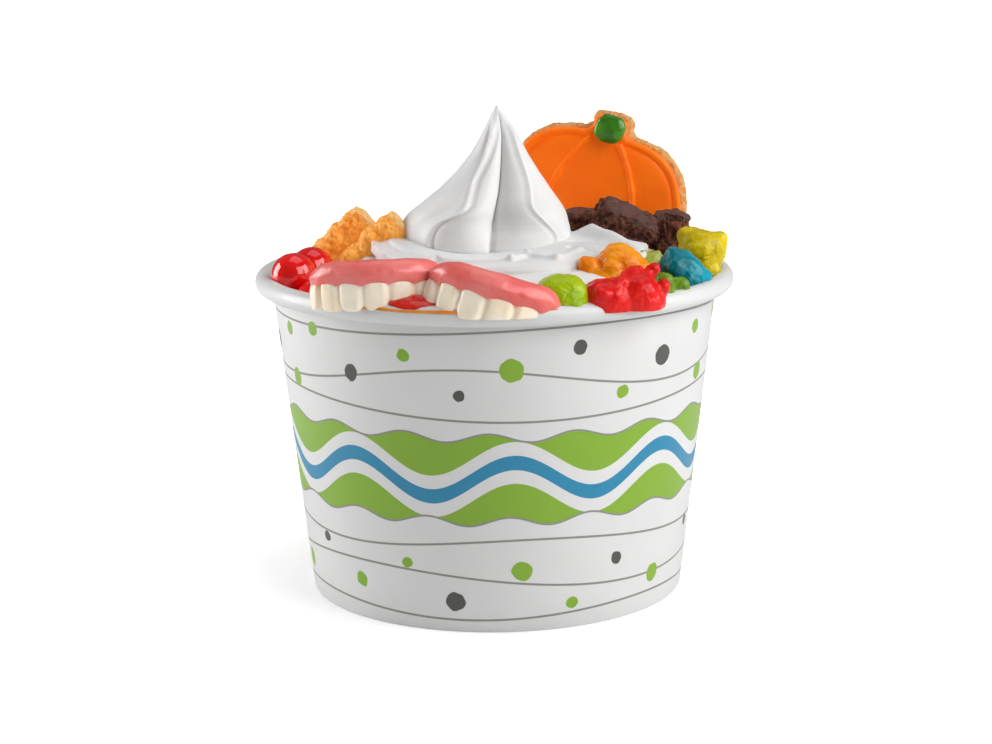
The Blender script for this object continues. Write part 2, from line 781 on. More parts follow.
@dataclass
class PaperCup:
    """The tapered paper cup with its rolled rim, folded foot and glued side seam."""

    rim_radius: float = 50.0
    height: float = 67.6
    foot_radius: float = 39.2
    bead: float = 2.0
    paper: float = 0.55
    gap: float = 0.05
    steps: int = 192
    fold_height: float = 5.2
    fold_slot: float = 1.1
    base_height: float = 6.2
    seam_angle: float = 181.0
    seam_width: float = 11.0
    seam_lift: float = 0.32
    finish: Finish = PrintedPaper("printed_paper", Ink.WHITE.value, roughness=0.42, coat=0.15)
    plain: Finish = Finish("plain_paper", (0.80, 0.80, 0.79), roughness=0.5)

    @property
    def bead_centre(self) -> tuple[float, float]:
        """Returns the radius and height of the rolled rim's middle."""
        return self.rim_radius - self.bead, self.height - self.bead

    def wall(self, height: float) -> float:
        """Returns the wall's outer radius at a height."""
        top = self.rim_radius - 2 * self.bead + self.paper
        return self.foot_radius + (top - self.foot_radius) * height / (self.height - self.bead)

    def inside(self, height: float) -> float:
        """Returns the wall's inner radius at a height."""
        return self.wall(height) - self.paper

    def curl(self, radius: float, start: int, end: int) -> list[tuple[float, float]]:
        """Returns points of the rolled rim's section from one angle to another."""
        out, up = self.bead_centre
        step = 9 if end > start else -9
        angles = [math.radians(angle) for angle in range(start, end + step, step)]
        return [(out + radius * math.cos(angle), up + radius * math.sin(angle)) for angle in angles]

    def spun(self, profile: Sequence[tuple[float, float]]) -> Shape:
        """Spins a closed profile of radii and heights round the cup's axis."""
        bm = bmesh.new()
        verts = [bm.verts.new((radius * MM, 0.0, height * MM)) for radius, height in profile]
        edges = [bm.edges.new(pair) for pair in zip(verts, verts[1:] + verts[:1])]
        axis = {"cent": (0, 0, 0), "axis": (0, 0, 1), "angle": math.tau, "steps": self.steps}
        bmesh.ops.spin(bm, geom=verts + edges, use_merge=True, **axis)
        bmesh.ops.remove_doubles(bm, verts=bm.verts, dist=WELD)
        bmesh.ops.recalc_face_normals(bm, faces=bm.faces)
        return bm

    def build_wall(self) -> Shape:
        """Rolls one blank of paper out at the rim and folds it in at the foot."""
        leg = self.paper + self.fold_slot
        low, rings, edge, tucked = 0.35, 12, 0.3, -144
        rise = self.height - self.bead - low
        heights = [low + rise * i / rings for i in range(1, rings)]
        paper, foot, top = self.paper, self.wall(0), self.fold_height
        profile = self.curl(self.bead - paper, tucked, 180)
        profile += [(self.wall(height), height) for height in reversed(heights)]
        profile += [(foot - 0.02, 0.28), (foot - 0.16, 0.07), (foot - 0.4, 0.0)]
        profile += [(foot - leg - paper + edge, 0.0), (foot - leg - paper, edge)]
        profile += [(self.wall(top) - leg - paper, top), (self.wall(top) - leg, top)]
        profile += [(self.wall(paper) - leg, paper), (self.inside(paper), paper)]
        profile += [(self.inside(height), height) for height in heights]
        profile += self.curl(self.bead, 180, tucked)
        bm = self.spun(profile)
        for vert in bm.verts:
            self.lap(vert)
        return bm

    def lap(self, vert: Vert) -> None:
        """Lifts the outer paper where it laps over the side seam."""
        radius, height = math.hypot(vert.co.x, vert.co.y) / MM, vert.co.z / MM
        low, high = 0.3, self.bead_centre[1] - 1.6
        if not low < height < high or radius < self.wall(height) - 0.1:
            return
        angle = math.degrees(math.atan2(vert.co.x, -vert.co.y)) % 360
        across = angle - self.seam_angle
        flat = eased(0, self.seam_width, across)
        lift = self.seam_lift * eased(-0.2, 0.2, across) * (1 - flat)
        vert.co.xy = vert.co.xy * ((radius + lift) / radius)

    def build_base(self) -> Shape:
        """Sets the base disc, whose skirt hangs in the fold of the foot."""
        skirt, bend, low = 0.5, 0.3, self.base_height
        top, foot = low + self.paper, self.paper + 0.6
        inner = self.inside(low) - self.gap - skirt
        profile = [
            (0.0, top),
            (self.inside(top) - self.gap, top),
            (self.inside(foot) - self.gap, foot),
            (self.inside(foot) - self.gap - skirt, foot),
            (inner - bend, low - bend),
            (inner - 3 * bend, low),
            (0.0, low),
        ]
        return self.spun(profile)

    def seat(self) -> Piece:
        """Makes the ring round the rim and the wall that sweets are cut away by."""
        low, outside = 48.0, self.rim_radius + 8.0
        profile = self.curl(self.bead + self.gap, 0, 180)
        profile += [(self.inside(low) - self.gap, low), (outside, low)]
        profile.append((outside, self.bead_centre[1]))
        return linked("seat", self.spun(profile))

    def nestle(self, bm: Shape) -> Shape:
        """Cuts a sweet to the wall and the rolled rim that it rests on.

        Args:
            bm: The sweet's shape, in place.

        Returns:
            The cut shape.
        """
        ring, whole = self.seat(), linked("whole", bm)
        rest = whole.modifiers.new("Rest", "BOOLEAN")
        rest.operation, rest.object, rest.solver = "DIFFERENCE", ring, "MANIFOLD"
        made = evaluated(whole)
        scrapped(whole, ring)
        return made

    def dress(self) -> None:
        """Places the wall and the base."""
        placed("cup_paper", self.build_wall(), self.finish, "paper", ["cup_wall"], crease=35)
        placed("cup_disc", self.build_base(), self.plain, "paper", ["cup_base"], crease=35)


@dataclass
class FrozenYogurt:
    """The cup's fill, the coils on it and the fluted peak."""

    cup: PaperCup
    fill: float = 61.2
    core_top: float = 73.8
    sag: float = 2.4
    dip: float = 1.6
    # the coils unrolled: width of a degree and length of the whole way, for the folds' sizes
    unrolled: tuple[float, float] = (0.42, 46.0)
    # height, angles of the front ridge's lip, its crease, and the right ridge's lip
    front: Rows = (
        (70.6, -42.0, 2.0, 52.0),
        (75.0, -43.0, 4.0, 55.0),
        (77.0, -41.0, 7.0, 51.0),
        (78.8, -37.0, 8.0, 44.5),
        (80.4, -26.0, 8.0, 39.0),
        (82.0, -22.0, 8.0, 37.0),
        (84.5, -27.0, 7.5, 40.5),
        (87.0, -31.5, 7.0, 44.0),
        (91.5, -29.0, 7.0, 46.0),
        (96.0, -26.0, 9.0, 52.0),
        (101.3, -25.0, 12.0, 56.0),
    )
    # angles of the other ridges' lips and creases, on from the right ridge's crease
    others: tuple[float, ...] = (92.0, 116.0, 154.0, 172.0, 206.0, 224.0, 252.0)
    # height, radius, depth of the grooves, turn of the lobes, sideways shift
    peak: Rows = (
        (70.6, 16.2, 0.08, -6, -1.2),
        (72.2, 17.2, 0.14, -6, -1.4),
        (75.0, 17.4, 0.20, -6, -1.4),
        (77.4, 16.9, 0.27, -3, -1.5),
        (79.4, 15.8, 0.30, 3, -1.1),
        (81.6, 13.8, 0.31, 8, -0.5),
        (84.2, 11.2, 0.31, 5, 0.3),
        (87.4, 8.5, 0.31, 2, 0.9),
        (91.4, 5.8, 0.29, 0, 1.3),
        (95.8, 3.5, 0.24, 0, 1.4),
        (99.2, 1.6, 0.14, 0, 1.1),
        (101.2, 0.25, 0.0, 0, 0.8),
    )
    # share of the way, radius, height, sideways shift
    coil: Rows = (
        (0.00, 46.0, 61.2, 0.0),
        (0.06, 41.8, 61.6, 0.2),
        (0.14, 38.6, 62.5, 0.6),
        (0.22, 35.9, 64.2, 1.2),
        (0.30, 34.0, 66.0, 2.2),
        (0.40, 33.0, 68.2, 3.2),
        (0.50, 31.2, 70.2, 3.4),
        (0.60, 28.8, 71.9, 2.9),
        (0.70, 25.8, 73.4, 1.8),
        (0.80, 22.4, 74.4, 0.9),
        (0.88, 19.6, 74.5, 0.2),
        (0.94, 16.5, 74.3, 0.0),
        (1.00, 10.0, 73.9, 0.0),
    )
    # folds of the coils: angle and share of the way at each end, width, height at each end
    folds: Rows = (
        (-70.0, 0.78, -28.0, 0.7, 0.9, 0.9, 0.7),
        (-28.0, 0.7, 4.0, 0.74, 0.9, 1.0, 0.8),
        (4.0, 0.74, 14.0, 0.8, 0.8, 1.3, 1.0),
        (14.0, 0.8, 24.0, 0.71, 0.8, 1.1, 0.8),
        (24.0, 0.71, 46.0, 0.78, 0.9, 0.9, 0.7),
        (77.0, 0.91, 66.0, 0.58, 1.6, 3.7, 0.8),
        (86.0, 0.88, 88.0, 0.64, 1.2, 1.9, 1.4),
        (99.0, 0.82, 106.0, 0.6, 1.2, 1.4, 1.0),
        (62.0, 0.9, 66.0, 0.62, 0.8, -1.9, -1.4),
        (82.0, 0.86, 81.0, 0.62, 0.7, -1.8, -1.4),
        (48.0, 0.84, 50.0, 0.6, 0.8, -1.3, -1.0),
        (-95.0, 0.72, -60.0, 0.62, 0.9, 0.8, 0.6),
        (-60.0, 0.62, -35.0, 0.6, 0.9, 0.6, 0.4),
        (-86.0, 0.6, -50.0, 0.5, 0.9, -0.7, -0.5),
    )
    finish: Finish = SoftServe(
        "soft_serve", (0.80, 0.80, 0.79), roughness=0.42, glow=0.10, depth=(1.0, 0.95, 0.9),
        shine=0.3,
    )

    def groove(self, share: float) -> float:
        """Returns the depth of a groove for a share of the way from a crease to the next lip."""
        fall = eased(0.0, 0.09, share)
        rise = (1 - share) ** 0.8
        return fall * (0.22 + 0.78 * rise) * (1 - eased(0.92, 0.99, share))

    def flute(self, band: int, last: int, within: float) -> tuple[float, float]:
        """Draws the section of the peak, band by band from the front lip.

        Args:
            band: The band between two lips or creases.
            last: The last band, which meets the front lip.
            within: The share of the way through the band.

        Returns:
            How deep the band is cut there, and the share of the band up to its lip.
        """
        if band == 0:
            cut = 1.25 * within**1.35 - 0.16 * math.sin(math.pi * within)
            return cut + 0.22 * swell(within, 1.0, 0.06), within
        if band == 1:
            return 1.2 * (1 - within) ** 1.1 + 0.22 * swell(within, 0.0, 0.045), 1 - within
        if band == last:
            cut = 0.9 * swell(within, 0.0, 0.08) - 0.14 * swell(within, 0.3, 0.22)
            return cut + 0.24 * swell(within, 0.82, 0.16), 1 - within
        if band % 2 == 0:
            return -0.13 * math.sin(math.pi * within**0.9), within
        return self.groove(within), 1 - within

    def ridges(self, height: float, swing: float) -> list[float]:
        """Lists the angles of the lips and creases at a height, starting with the front lip."""
        return [*along(self.front, height), *(angle + swing for angle in self.others)]

    def build_peak(self) -> Shape:
        """Draws the fluted peak: each ridge swells from a lip and ends in a crease."""
        steps, bands, rows = 42, 10, 150
        low, high = self.peak[0][0], self.peak[-1][0]
        table = []
        for row in range(rows + 1):
            height = low + (high - low) * row / rows
            radius, depth, swing, shift = along(self.peak, height)
            table.append((height, radius, depth, shift, self.ridges(height, swing)))

        def place(share: float, far: float) -> Vector:
            """Returns a point on the peak."""
            height, radius, depth, shift, angles = table[int(round(far * rows))]
            column = int(round(share * steps * bands)) % (steps * bands)
            band, step = divmod(column, steps)
            within = 0.5 - 0.5 * math.cos(math.pi * step / steps)
            start, end = angles[band], angles[(band + 1) % bands]
            width = (end - start) % 360
            angle = start + width * within
            cut, past = self.flute(band, bands - 1, within)
            edge = width * past * math.radians(radius)
            raised = 0.62 * swell(edge, 0.0, 0.36) - 0.30 * swell(edge, 1.0, 0.6)
            raised *= 1.0 if band in (0, bands - 1) else 0.4
            raised *= eased(0.02, 0.12, far) * (1 - eased(0.80, 0.97, far))
            bumps = Vector((math.sin(math.radians(angle)) * 2, height * 0.12, 3.0))
            reach = radius * (1 - depth * cut + 0.015 * noise.noise(bumps)) + raised
            reach *= 0.93 + 0.07 * eased(0.0, 0.09, far)
            return around(angle, max(reach, 0.0), height, shift)

        return wrapped(place, steps * bands, rows)

    def folded(self, angle: float, way: float) -> float:
        """Returns how far the coils' folds stand out at a point."""
        raised = 0.0
        degree, length = self.unrolled
        spot = Vector(((angle + 180) % 360 - 180, 0.0)) * degree + Vector((0.0, way * length))
        for turn_a, way_a, turn_b, way_b, width, high, low in self.folds:
            start = Vector((turn_a * degree, way_a * length))
            end = Vector((turn_b * degree, way_b * length))
            share = (spot - start).dot(end - start) / (end - start).length_squared
            share = min(max(share, 0.0), 1.0)
            off = (spot - start.lerp(end, share)).length
            if off < 3 * width:
                raised += (high + (low - high) * share) * swell(off, 0.0, width)
        return raised

    def build_coils(self) -> Shape:
        """Lays the fill against the wall and winds the coils under the peak."""
        floor = self.cup.base_height + self.cup.paper
        columns, rows, base = 400, 110, 10

        def place(share: float, far: float) -> Vector:
            """Returns a point on the fill and the coils."""
            angle = share * 360
            row = int(round(far * rows))
            if row == 0:
                return Vector((0, 0, floor))
            if row <= base:
                height = floor + (self.fill - floor) * (row - 1) / (base - 1)
                return around(angle, self.cup.inside(height) + 0.2, height)
            if row == rows:
                return Vector((0, 0, self.core_top))
            way = (row - base) / (rows - base)
            radius, height, shift = along(self.coil, way)
            lean = ((angle + 300) % 360) / 360
            fold = swell(way, 0.53 + 0.07 * lean, 0.018)
            fold += 0.8 * swell(way, 0.27 + 0.05 * lean, 0.022)
            bulge = swell(way, 0.62 + 0.07 * lean, 0.06) + 0.7 * swell(way, 0.42, 0.08)
            turn = math.radians(angle)
            drift = noise.noise(Vector((math.sin(turn) * 1.7, math.cos(turn) * 1.7, way * 3.0)))
            raised = self.folded(angle, way)
            near = swell((angle + 190) % 360 - 180, 0.0, 48.0)
            fold *= 1 - 0.6 * near
            out = 0.8 * bulge - 1.2 * fold + 1.0 * drift + 0.6 * raised
            radius += out * eased(0.08, 0.3, way)
            lift = 0.5 * drift + 0.5 * bulge - 0.3 * fold + 0.8 * raised
            height += lift * eased(0.05, 0.2, way)
            slack = self.sag * swell(angle, 108.0, 40.0) * eased(0.40, 0.60, way)
            height -= slack * (1 - eased(0.84, 0.96, way))
            height -= self.dip * near * eased(0.40, 0.66, way)
            return around(angle, radius, height, shift)

        return wrapped(place, columns, rows)

    def dress(self) -> None:
        """Places the yogurt as one piece."""
        whole = joined([self.build_coils(), self.build_peak()])
        placed("soft_serve", whole, self.finish, "yogurt", ["frozen_yogurt"], crease=75)


@dataclass
class PumpkinBiscuit:
    """The iced biscuit that stands in the yogurt behind the brownies."""

    width: float = 41.0
    height: float = 33.0
    thick: float = 4.6
    stem_width: float = 8.8
    stem_height: float = 3.7
    margin: float = 0.75
    icing_thick: float = 1.5
    icing_gap: float = 0.12
    # share of the stem's half width, share of its height down from its top, as the left half runs
    stem_edge: Rows = (
        (0.99, 0.72), (0.99, 0.45), (0.96, 0.24), (0.88, 0.09), (0.72, 0.01), (0.4, -0.02),
        (0.0, -0.03),
    )
    stand: Matrix = field(
        default_factory=lambda: (
            offset((22.2, 27.2, 77.8)) @ turned(-10, "Z") @ turned(14, "Y") @ turned(85, "X")
        )
    )
    crumb: Finish = Crumb(
        "shortcake", (0.76, 0.42, 0.16), roughness=0.85, deep=(0.60, 0.23, 0.05), grain=1100.0,
        pores=0.25, lift=0.22, shine=0.2,
    )
    iced: Finish = Gelatine(
        "orange_icing", (1.0, 0.185, 0.006), roughness=0.42, coat=0.08, deep=(0.97, 0.145, 0.004),
        ripple=0.05, shine=0.15, light=0.21,
    )
    stem: Finish = Gelatine(
        "green_icing", (0.070, 0.30, 0.010), roughness=0.22, coat=0.35, deep=(0.030, 0.17, 0.006),
        ripple=0.16, shine=0.3,
    )

    def outline(self, margin: float, count: int) -> list[Vector]:
        """Draws the pumpkin's edge, shrunk by a margin.

        Args:
            margin: How far inside the biscuit's edge the line runs.
            count: How many even steps it is cut into.

        Returns:
            The points, from the right foot of the stem clockwise to its left foot and over it.
        """
        half_width, half_height = self.width / 2 - margin, self.height / 2 - margin
        half_stem = self.stem_width / 2 - margin
        first = math.degrees(math.asin(half_stem / half_width)) + 4
        points, last = [], 139
        for i in range(last + 1):
            from_top = first + (360 - 2 * first) * i / last
            folded = min(from_top, 360 - from_top)
            dips = 0.05 * swell(folded, 0, 22) + 0.04 * swell(folded, 180, 20)
            reach = 1 + 0.05 * swell(folded, 42, 20) - dips
            angle = math.radians(from_top)
            across, up = half_width * reach * math.sin(angle), half_height * reach * math.cos(angle)
            points.append(Vector((across, up)))
        top = self.height / 2 + self.stem_height * 0.8 - margin
        stem = [(-x, y) for x, y in self.stem_edge] + [*reversed(self.stem_edge[:-1])]
        points += [Vector((half_stem * x, top - self.stem_height * y)) for x, y in stem]
        steps = [0.0]
        for near, far in zip(points, points[1:] + points[:1]):
            steps.append(steps[-1] + (far - near).length)
        points.append(points[0])
        even = []
        for i in range(count):
            at = steps[-1] * i / count
            k = min(bisect.bisect_right(steps, at) - 1, len(points) - 2)
            even.append(points[k].lerp(points[k + 1], (at - steps[k]) / (steps[k + 1] - steps[k])))
        return even

    def plate(self, stations: Sequence[tuple[float, float, float]], count: int) -> Shape:
        """Skins a flat shape whose edge is rounded.

        Args:
            stations: Rows of a margin, a share of the outline's size and a height.
            count: Faces round it.

        Returns:
            The plate, flat about the origin.
        """
        lines = {margin: self.outline(margin, count) for margin, _, _ in stations}

        def place(share: float, far: float) -> Vector:
            """Returns a point of the plate."""
            margin, size, height = stations[int(round(far * (len(stations) - 1)))]
            point = lines[margin][int(round(share * count)) % count] * size
            return Vector((point.x, point.y, height))

        return wrapped(place, count, len(stations) - 1)

    def build_biscuit(self) -> Shape:
        """Bakes the biscuit with soft, crumbly edges."""
        half, edge = self.thick / 2, 1.1
        arc = [math.radians(angle) for angle in range(0, 91, 15)]
        low = [(edge * (1 - math.sin(a)), 1.0, -half + edge * (1 - math.cos(a))) for a in arc]
        side = [(0.0, 1.0, -half + edge + (self.thick - 2 * edge) * i / 5) for i in range(1, 5)]
        high = [(margin, size, -height) for margin, size, height in reversed(low)]
        shares = [0.0, 0.2, 0.4, 0.6, 0.75, 0.86, 0.94]
        back = [(edge, share, -half) for share in shares]
        front = [(edge, share, half) for share in reversed(shares)]
        bm = self.plate(back + low + side + high + front, 420)
        roughen(bm, 0.34, 2.4, 4.0, octaves=4)
        roughen(bm, 0.13, 0.7, 9.0, octaves=2)
        return bm

    def build_icing(self) -> Shape:
        """Floods the icing inside its piped edge and pipes the two ribs."""
        base = self.thick / 2 + self.icing_gap
        top, edge = base + self.icing_thick, self.margin
        outer = ((0.25, 0.05), (0.05, 0.4), (0.0, 0.75), (0.12, 1.1))
        bead = ((0.4, 0.08), (0.8, 0.0), (1.2, 0.12), (1.5, 0.44), (1.75, 0.62), (2.1, 0.36),
                (2.8, 0.24))
        field_edge, sunk = 3.2, 0.2
        stations = [(edge + 0.5, share, base) for share in (0.0, 0.3, 0.6, 0.9, 1.0)]
        stations += [(edge + inwards, 1.0, base + up) for inwards, up in outer]
        stations += [(edge + inwards, 1.0, top - down) for inwards, down in bead]
        stations.append((edge + field_edge, 0.97, top - sunk))
        for share in (0.9, 0.8, 0.65, 0.5, 0.35, 0.2, 0.08, 0.0):
            stations.append((edge + field_edge, share, top - sunk + 0.1 * (1 - share)))
        bm = self.plate(stations, 360)
        roughen(bm, 0.10, 5.0, 2.0, octaves=2)
        ribs = [self.rib(-3.4, -9.4, -1.0), self.rib(3.0, 9.0, 1.0)]
        whole = joined([bm, *ribs])
        return moved(whole, offset((-0.35, -0.15, 0.0)))

    def rib(self, top_x: float, low_x: float, side: float) -> Shape:
        """Pipes one rib.

        Args:
            top_x: Where it starts under the stem.
            low_x: Where it ends near the foot.
            side: 1 for the right, -1 for the left.

        Returns:
            The rib, half sunk in the icing.
        """
        height = self.thick / 2 + self.icing_gap + self.icing_thick - 0.22
        path, last = [], 60
        for i in range(last + 1):
            far = i / last
            bow = side * 3.2 * math.sin(math.pi * far) * (1 - 0.25 * far)
            drop = 13.2 - 26.2 * far
            path.append(Vector((top_x + (low_x - top_x) * far**0.8 + bow, drop, height)))

        def width(far: float) -> float:
            """Returns the rib's uneven radius."""
            return 0.70 + 0.07 * math.sin(far * 41.0) + 0.05 * math.sin(far * 97.0)

        return tube(path, width, 14)

    def build_stem(self) -> Shape:
        """Drops the green blob on the stem."""
        bm = ball((3.3, 3.1, 1.6), 64, 44, square=0.80)
        roughen(bm, 0.35, 3.2, 6.0, octaves=2)
        lift = self.thick / 2 + self.icing_thick + 1.7 + 0.3
        return moved(bm, offset((0.0, self.height / 2 - 0.5, lift)))

    def dress(self) -> None:
        """Stands the three pieces in the yogurt."""
        made = (
            ("iced_biscuit", self.build_biscuit(), self.crumb, "biscuit", "biscuit"),
            ("orange_icing", self.build_icing(), self.iced, "icing", "biscuit_icing"),
            ("stem_blob", self.build_stem(), self.stem, "green_icing", "stem_icing"),
        )
        for name, bm, finish, slot, node in made:
            placed(name, moved(bm, self.stand), finish, slot, [node], crease=50)


class Flavour(Enum):
    """The gummy bears' colours: where thin, where thick, and the record's slot."""

    RED = ((0.84, 0.018, 0.013), (0.66, 0.003, 0.003), "red_gummy")
    LIME = ((0.38, 0.52, 0.002), (0.27, 0.43, 0.001), "lime_gummy")
    ORANGE = ((0.95, 0.36, 0.006), (0.84, 0.20, 0.002), "orange_gummy")
    BLUE = ((0.002, 0.33, 0.44), (0.001, 0.17, 0.21), "blue_gummy")
    YELLOW = ((0.74, 0.58, 0.003), (0.57, 0.43, 0.001), "yellow_gummy")
    OLIVE = ((0.40, 0.42, 0.06), (0.27, 0.31, 0.02), "olive_gummy")
    GREEN = ((0.17, 0.31, 0.010), (0.07, 0.17, 0.003), "green_gummy")


@dataclass
class GummyBears:
    """The gummy bears heaped along the right of the rim, each squashed in its own way."""

    cup: PaperCup
    voxel: float = 0.27
    # each bear's lumps: centre, radii and clockwise tilt
    bears: tuple[tuple[str, Flavour, tuple[tuple[Triple, Triple, float], ...]], ...] = (
        ("red", Flavour.RED, (
            ((21.4, -41.0, 67.4), (4.7, 4.6, 4.1), 0),
            ((27.8, -39.4, 67.4), (4.6, 4.8, 4.9), -20),
            ((20.6, -44.2, 69.0), (2.0, 2.0, 1.6), 0),
            ((23.6, -41.4, 70.6), (2.3, 2.4, 1.3), -20),
            ((26.4, -37.6, 71.4), (3.0, 2.3, 1.6), -34),
            ((29.0, -36.2, 70.7), (2.0, 1.9, 1.9), 0),
            ((30.7, -35.4, 72.1), (1.8, 1.5, 1.35), -35),
            ((31.2, -39.6, 66.9), (2.0, 2.2, 2.1), 0),
            ((32.4, -39.6, 69.0), (1.3, 1.5, 2.3), 22),
            ((24.0, -42.8, 67.0), (2.3, 2.0, 2.6), 0),
            ((28.3, -41.2, 68.5), (2.5, 2.2, 2.8), 15),
        )),
        ("lime", Flavour.LIME, (
            ((13.0, -42.1, 66.8), (5.4, 4.9, 5.9), 0),
            ((14.0, -38.4, 65.0), (5.0, 4.8, 5.2), 0),
            ((10.0, -43.0, 65.8), (2.9, 3.2, 3.4), 0),
            ((15.8, -41.8, 66.0), (2.9, 3.2, 3.6), 0),
        )),
        ("orange", Flavour.ORANGE, (
            ((25.2, -22.0, 70.6), (4.9, 4.3, 4.0), 0),
            ((22.8, -23.4, 67.6), (5.8, 4.6, 4.0), 0),
            ((24.9, -21.6, 73.3), (2.9, 2.7, 2.2), 0),
            ((28.0, -22.6, 69.4), (3.4, 3.4, 3.6), 20),
            ((19.5, -24.2, 68.9), (2.5, 2.6, 3.0), 0),
            ((18.6, -24.0, 71.2), (2.1, 2.1, 2.1), 0),
            ((23.4, -25.8, 71.0), (2.0, 1.4, 1.6), 0),
        )),
        ("blue", Flavour.BLUE, (
            ((37.9, -19.6, 69.3), (5.0, 4.2, 3.9), 42),
            ((38.6, -18.0, 65.6), (4.4, 4.2, 4.4), 0),
            ((36.4, -19.8, 72.6), (2.0, 2.0, 1.6), 30),
            ((36.4, -23.0, 70.6), (2.0, 1.5, 1.7), 42),
            ((39.4, -23.2, 67.6), (2.4, 1.5, 2.0), 42),
            ((34.2, -20.4, 69.6), (1.9, 2.0, 2.0), 30),
            ((41.8, -19.4, 67.6), (2.0, 2.4, 2.2), 20),
        )),
        ("yellow", Flavour.YELLOW, (
            ((43.2, -4.2, 71.3), (5.0, 4.1, 4.2), 14),
            ((43.4, -5.6, 66.4), (3.6, 4.2, 4.2), 0),
            ((40.6, -3.6, 74.3), (2.6, 2.4, 1.7), 0),
            ((46.4, -3.6, 73.1), (2.2, 2.4, 1.9), 0),
            ((42.4, -8.0, 71.8), (2.1, 1.4, 1.7), 0),
            ((44.2, -9.0, 66.6), (2.6, 2.6, 3.6), 0),
        )),
        ("olive", Flavour.OLIVE, (
            ((31.6, -10.4, 69.5), (2.9, 2.7, 2.5), 0),
            ((31.8, -10.0, 66.0), (3.8, 3.6, 3.8), 0),
            ((30.2, -10.6, 71.4), (1.3, 1.2, 1.2), 0),
            ((33.2, -10.6, 71.0), (1.3, 1.2, 1.2), 0),
            ((31.4, -12.9, 69.4), (1.5, 1.1, 1.2), 0),
        )),
        ("green", Flavour.GREEN, (
            ((33.4, -29.4, 65.4), (3.6, 3.6, 3.2), 0),
            ((33.4, -32.6, 68.4), (2.0, 2.0, 3.0), 0),
            ((35.9, -29.0, 67.8), (2.8, 2.1, 1.9), -10),
            ((31.6, -28.4, 64.4), (3.6, 3.8, 3.6), 0),
        )),
    )

    def build_bear(self, lumps: Sequence[tuple[Triple, Triple, float]], seed: float) -> Shape:
        """Melts one bear's lumps together and gives it the gelatine's small dents.

        Args:
            lumps: Centre, radii and tilt of each lump.
            seed: Picks the dents.

        Returns:
            The bear, in place.
        """
        made = []
        for centre, radii, tilt in lumps:
            lump = ball(radii, 44, 30, square=0.80)
            made.append(moved(lump, offset(centre) @ turned(tilt, "Y")))
        bm = fused(joined(made), self.voxel, 9)
        roughen(bm, 0.20, 2.2, seed, octaves=2)
        roughen(bm, 0.07, 0.7, seed, octaves=1)
        return bm

    def dress(self) -> None:
        """Casts the bears and presses them against the cup."""
        for i, (name, flavour, lumps) in enumerate(self.bears):
            bm = self.build_bear(lumps, 3.0 + 7.0 * i)
            thin, thick, slot = flavour.value
            finish = Gelatine(
                f"{name}_gelatine", thin, roughness=0.27, coat=0.14, glow=0.2,
                depth=(1.6, 1.2, 0.9), shine=0.2, deep=thick, ripple=0.30,
            )
            placed(f"gummy_bear_{name}", self.cup.nestle(bm), finish, slot, [f"bear_{name}"])


